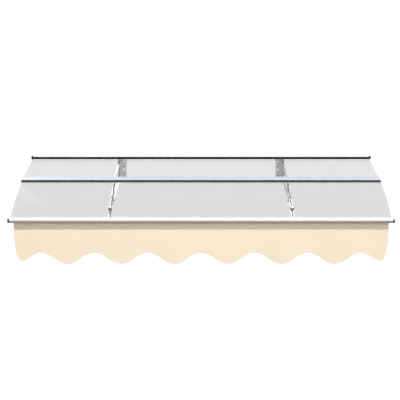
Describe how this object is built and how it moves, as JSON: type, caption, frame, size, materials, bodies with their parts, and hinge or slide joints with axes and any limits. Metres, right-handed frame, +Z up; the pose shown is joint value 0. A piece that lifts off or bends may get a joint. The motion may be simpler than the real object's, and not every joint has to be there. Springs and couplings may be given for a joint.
{
  "type": "door canopy",
  "caption": "Wall-mounted door canopy with clear sloping panes on slim steel brackets, a front tube and a scalloped fabric valance.",
  "frame": {"origin": "middle of the back face of the seal along the wall, on the wall plane", "axes": "+X along the wall across the canopy, +Y into the wall, so the canopy reaches out along -Y, +Z up"},
  "size_m": [2.0238, 1.0372, 0.476],
  "materials": {
    "clear_pane": "clear acrylic sheet",
    "black_profile": "satin black coated extrusion",
    "black_plastic": "satin black moulding",
    "rubber": "matt black rubber",
    "satin_aluminium": "satin anodised",
    "polished_steel": "polished stainless steel",
    "brushed_steel": "brushed stainless steel",
    "white_seal": "pale glazing seal",
    "dark_cap": "dark grey moulding",
    "cream_fabric": "cream woven awning cloth"
  },
  "bodies": {
    "root": {"upper_pane": "clear_pane", "lower_pane": "clear_pane", "wall_profile": "black_profile", "wall_seal": "rubber", "wall_cap_left": "black_plastic", "wall_cap_right": "black_plastic", "joint_profile": "satin_aluminium", "joint_seal": "rubber", "front_tube": "polished_steel", "front_pane_seal": "white_seal", "front_cap_left": "dark_cap", "front_cap_right": "dark_cap", "valance": "cream_fabric", "valance_welt": "cream_fabric", "wall_plate_left": "brushed_steel", "wall_plate_right": "brushed_steel", "rest_pad_left": "rubber", "rest_pad_right": "rubber", "arm_left": "polished_steel", "arm_right": "polished_steel", "arm_bolt_left": "polished_steel", "arm_bolt_right": "polished_steel", "arm_nut_left": "polished_steel", "arm_nut_right": "polished_steel", "strut_left": "polished_steel", "strut_right": "polished_steel", "strut_eye_left": "polished_steel", "strut_eye_right": "polished_steel", "strut_bolt_left": "polished_steel", "strut_bolt_right": "polished_steel", "strut_nut_left": "polished_steel", "strut_nut_right": "polished_steel", "knee_clamp_left": "polished_steel", "knee_clamp_right": "polished_steel", "knee_bolt_left": "polished_steel", "knee_bolt_right": "polished_steel", "knee_nut_left": "polished_steel", "knee_nut_right": "polished_steel", "cone_standoff_left": "polished_steel", "cone_standoff_right": "polished_steel", "clamp_disc_left": "polished_steel", "clamp_disc_right": "polished_steel", "upper_washer_left": "rubber", "upper_washer_right": "rubber", "lower_washer_left": "rubber", "lower_washer_right": "rubber", "fixing_screw_left": "brushed_steel", "fixing_screw_right": "brushed_steel", "joint_post_left": "polished_steel", "joint_post_right": "polished_steel", "joint_pad_left": "rubber", "joint_pad_right": "rubber", "front_saddle_left": "polished_steel", "front_saddle_right": "polished_steel", "saddle_screw_left": "brushed_steel", "saddle_screw_right": "brushed_steel"}
  },
  "joints": []
}
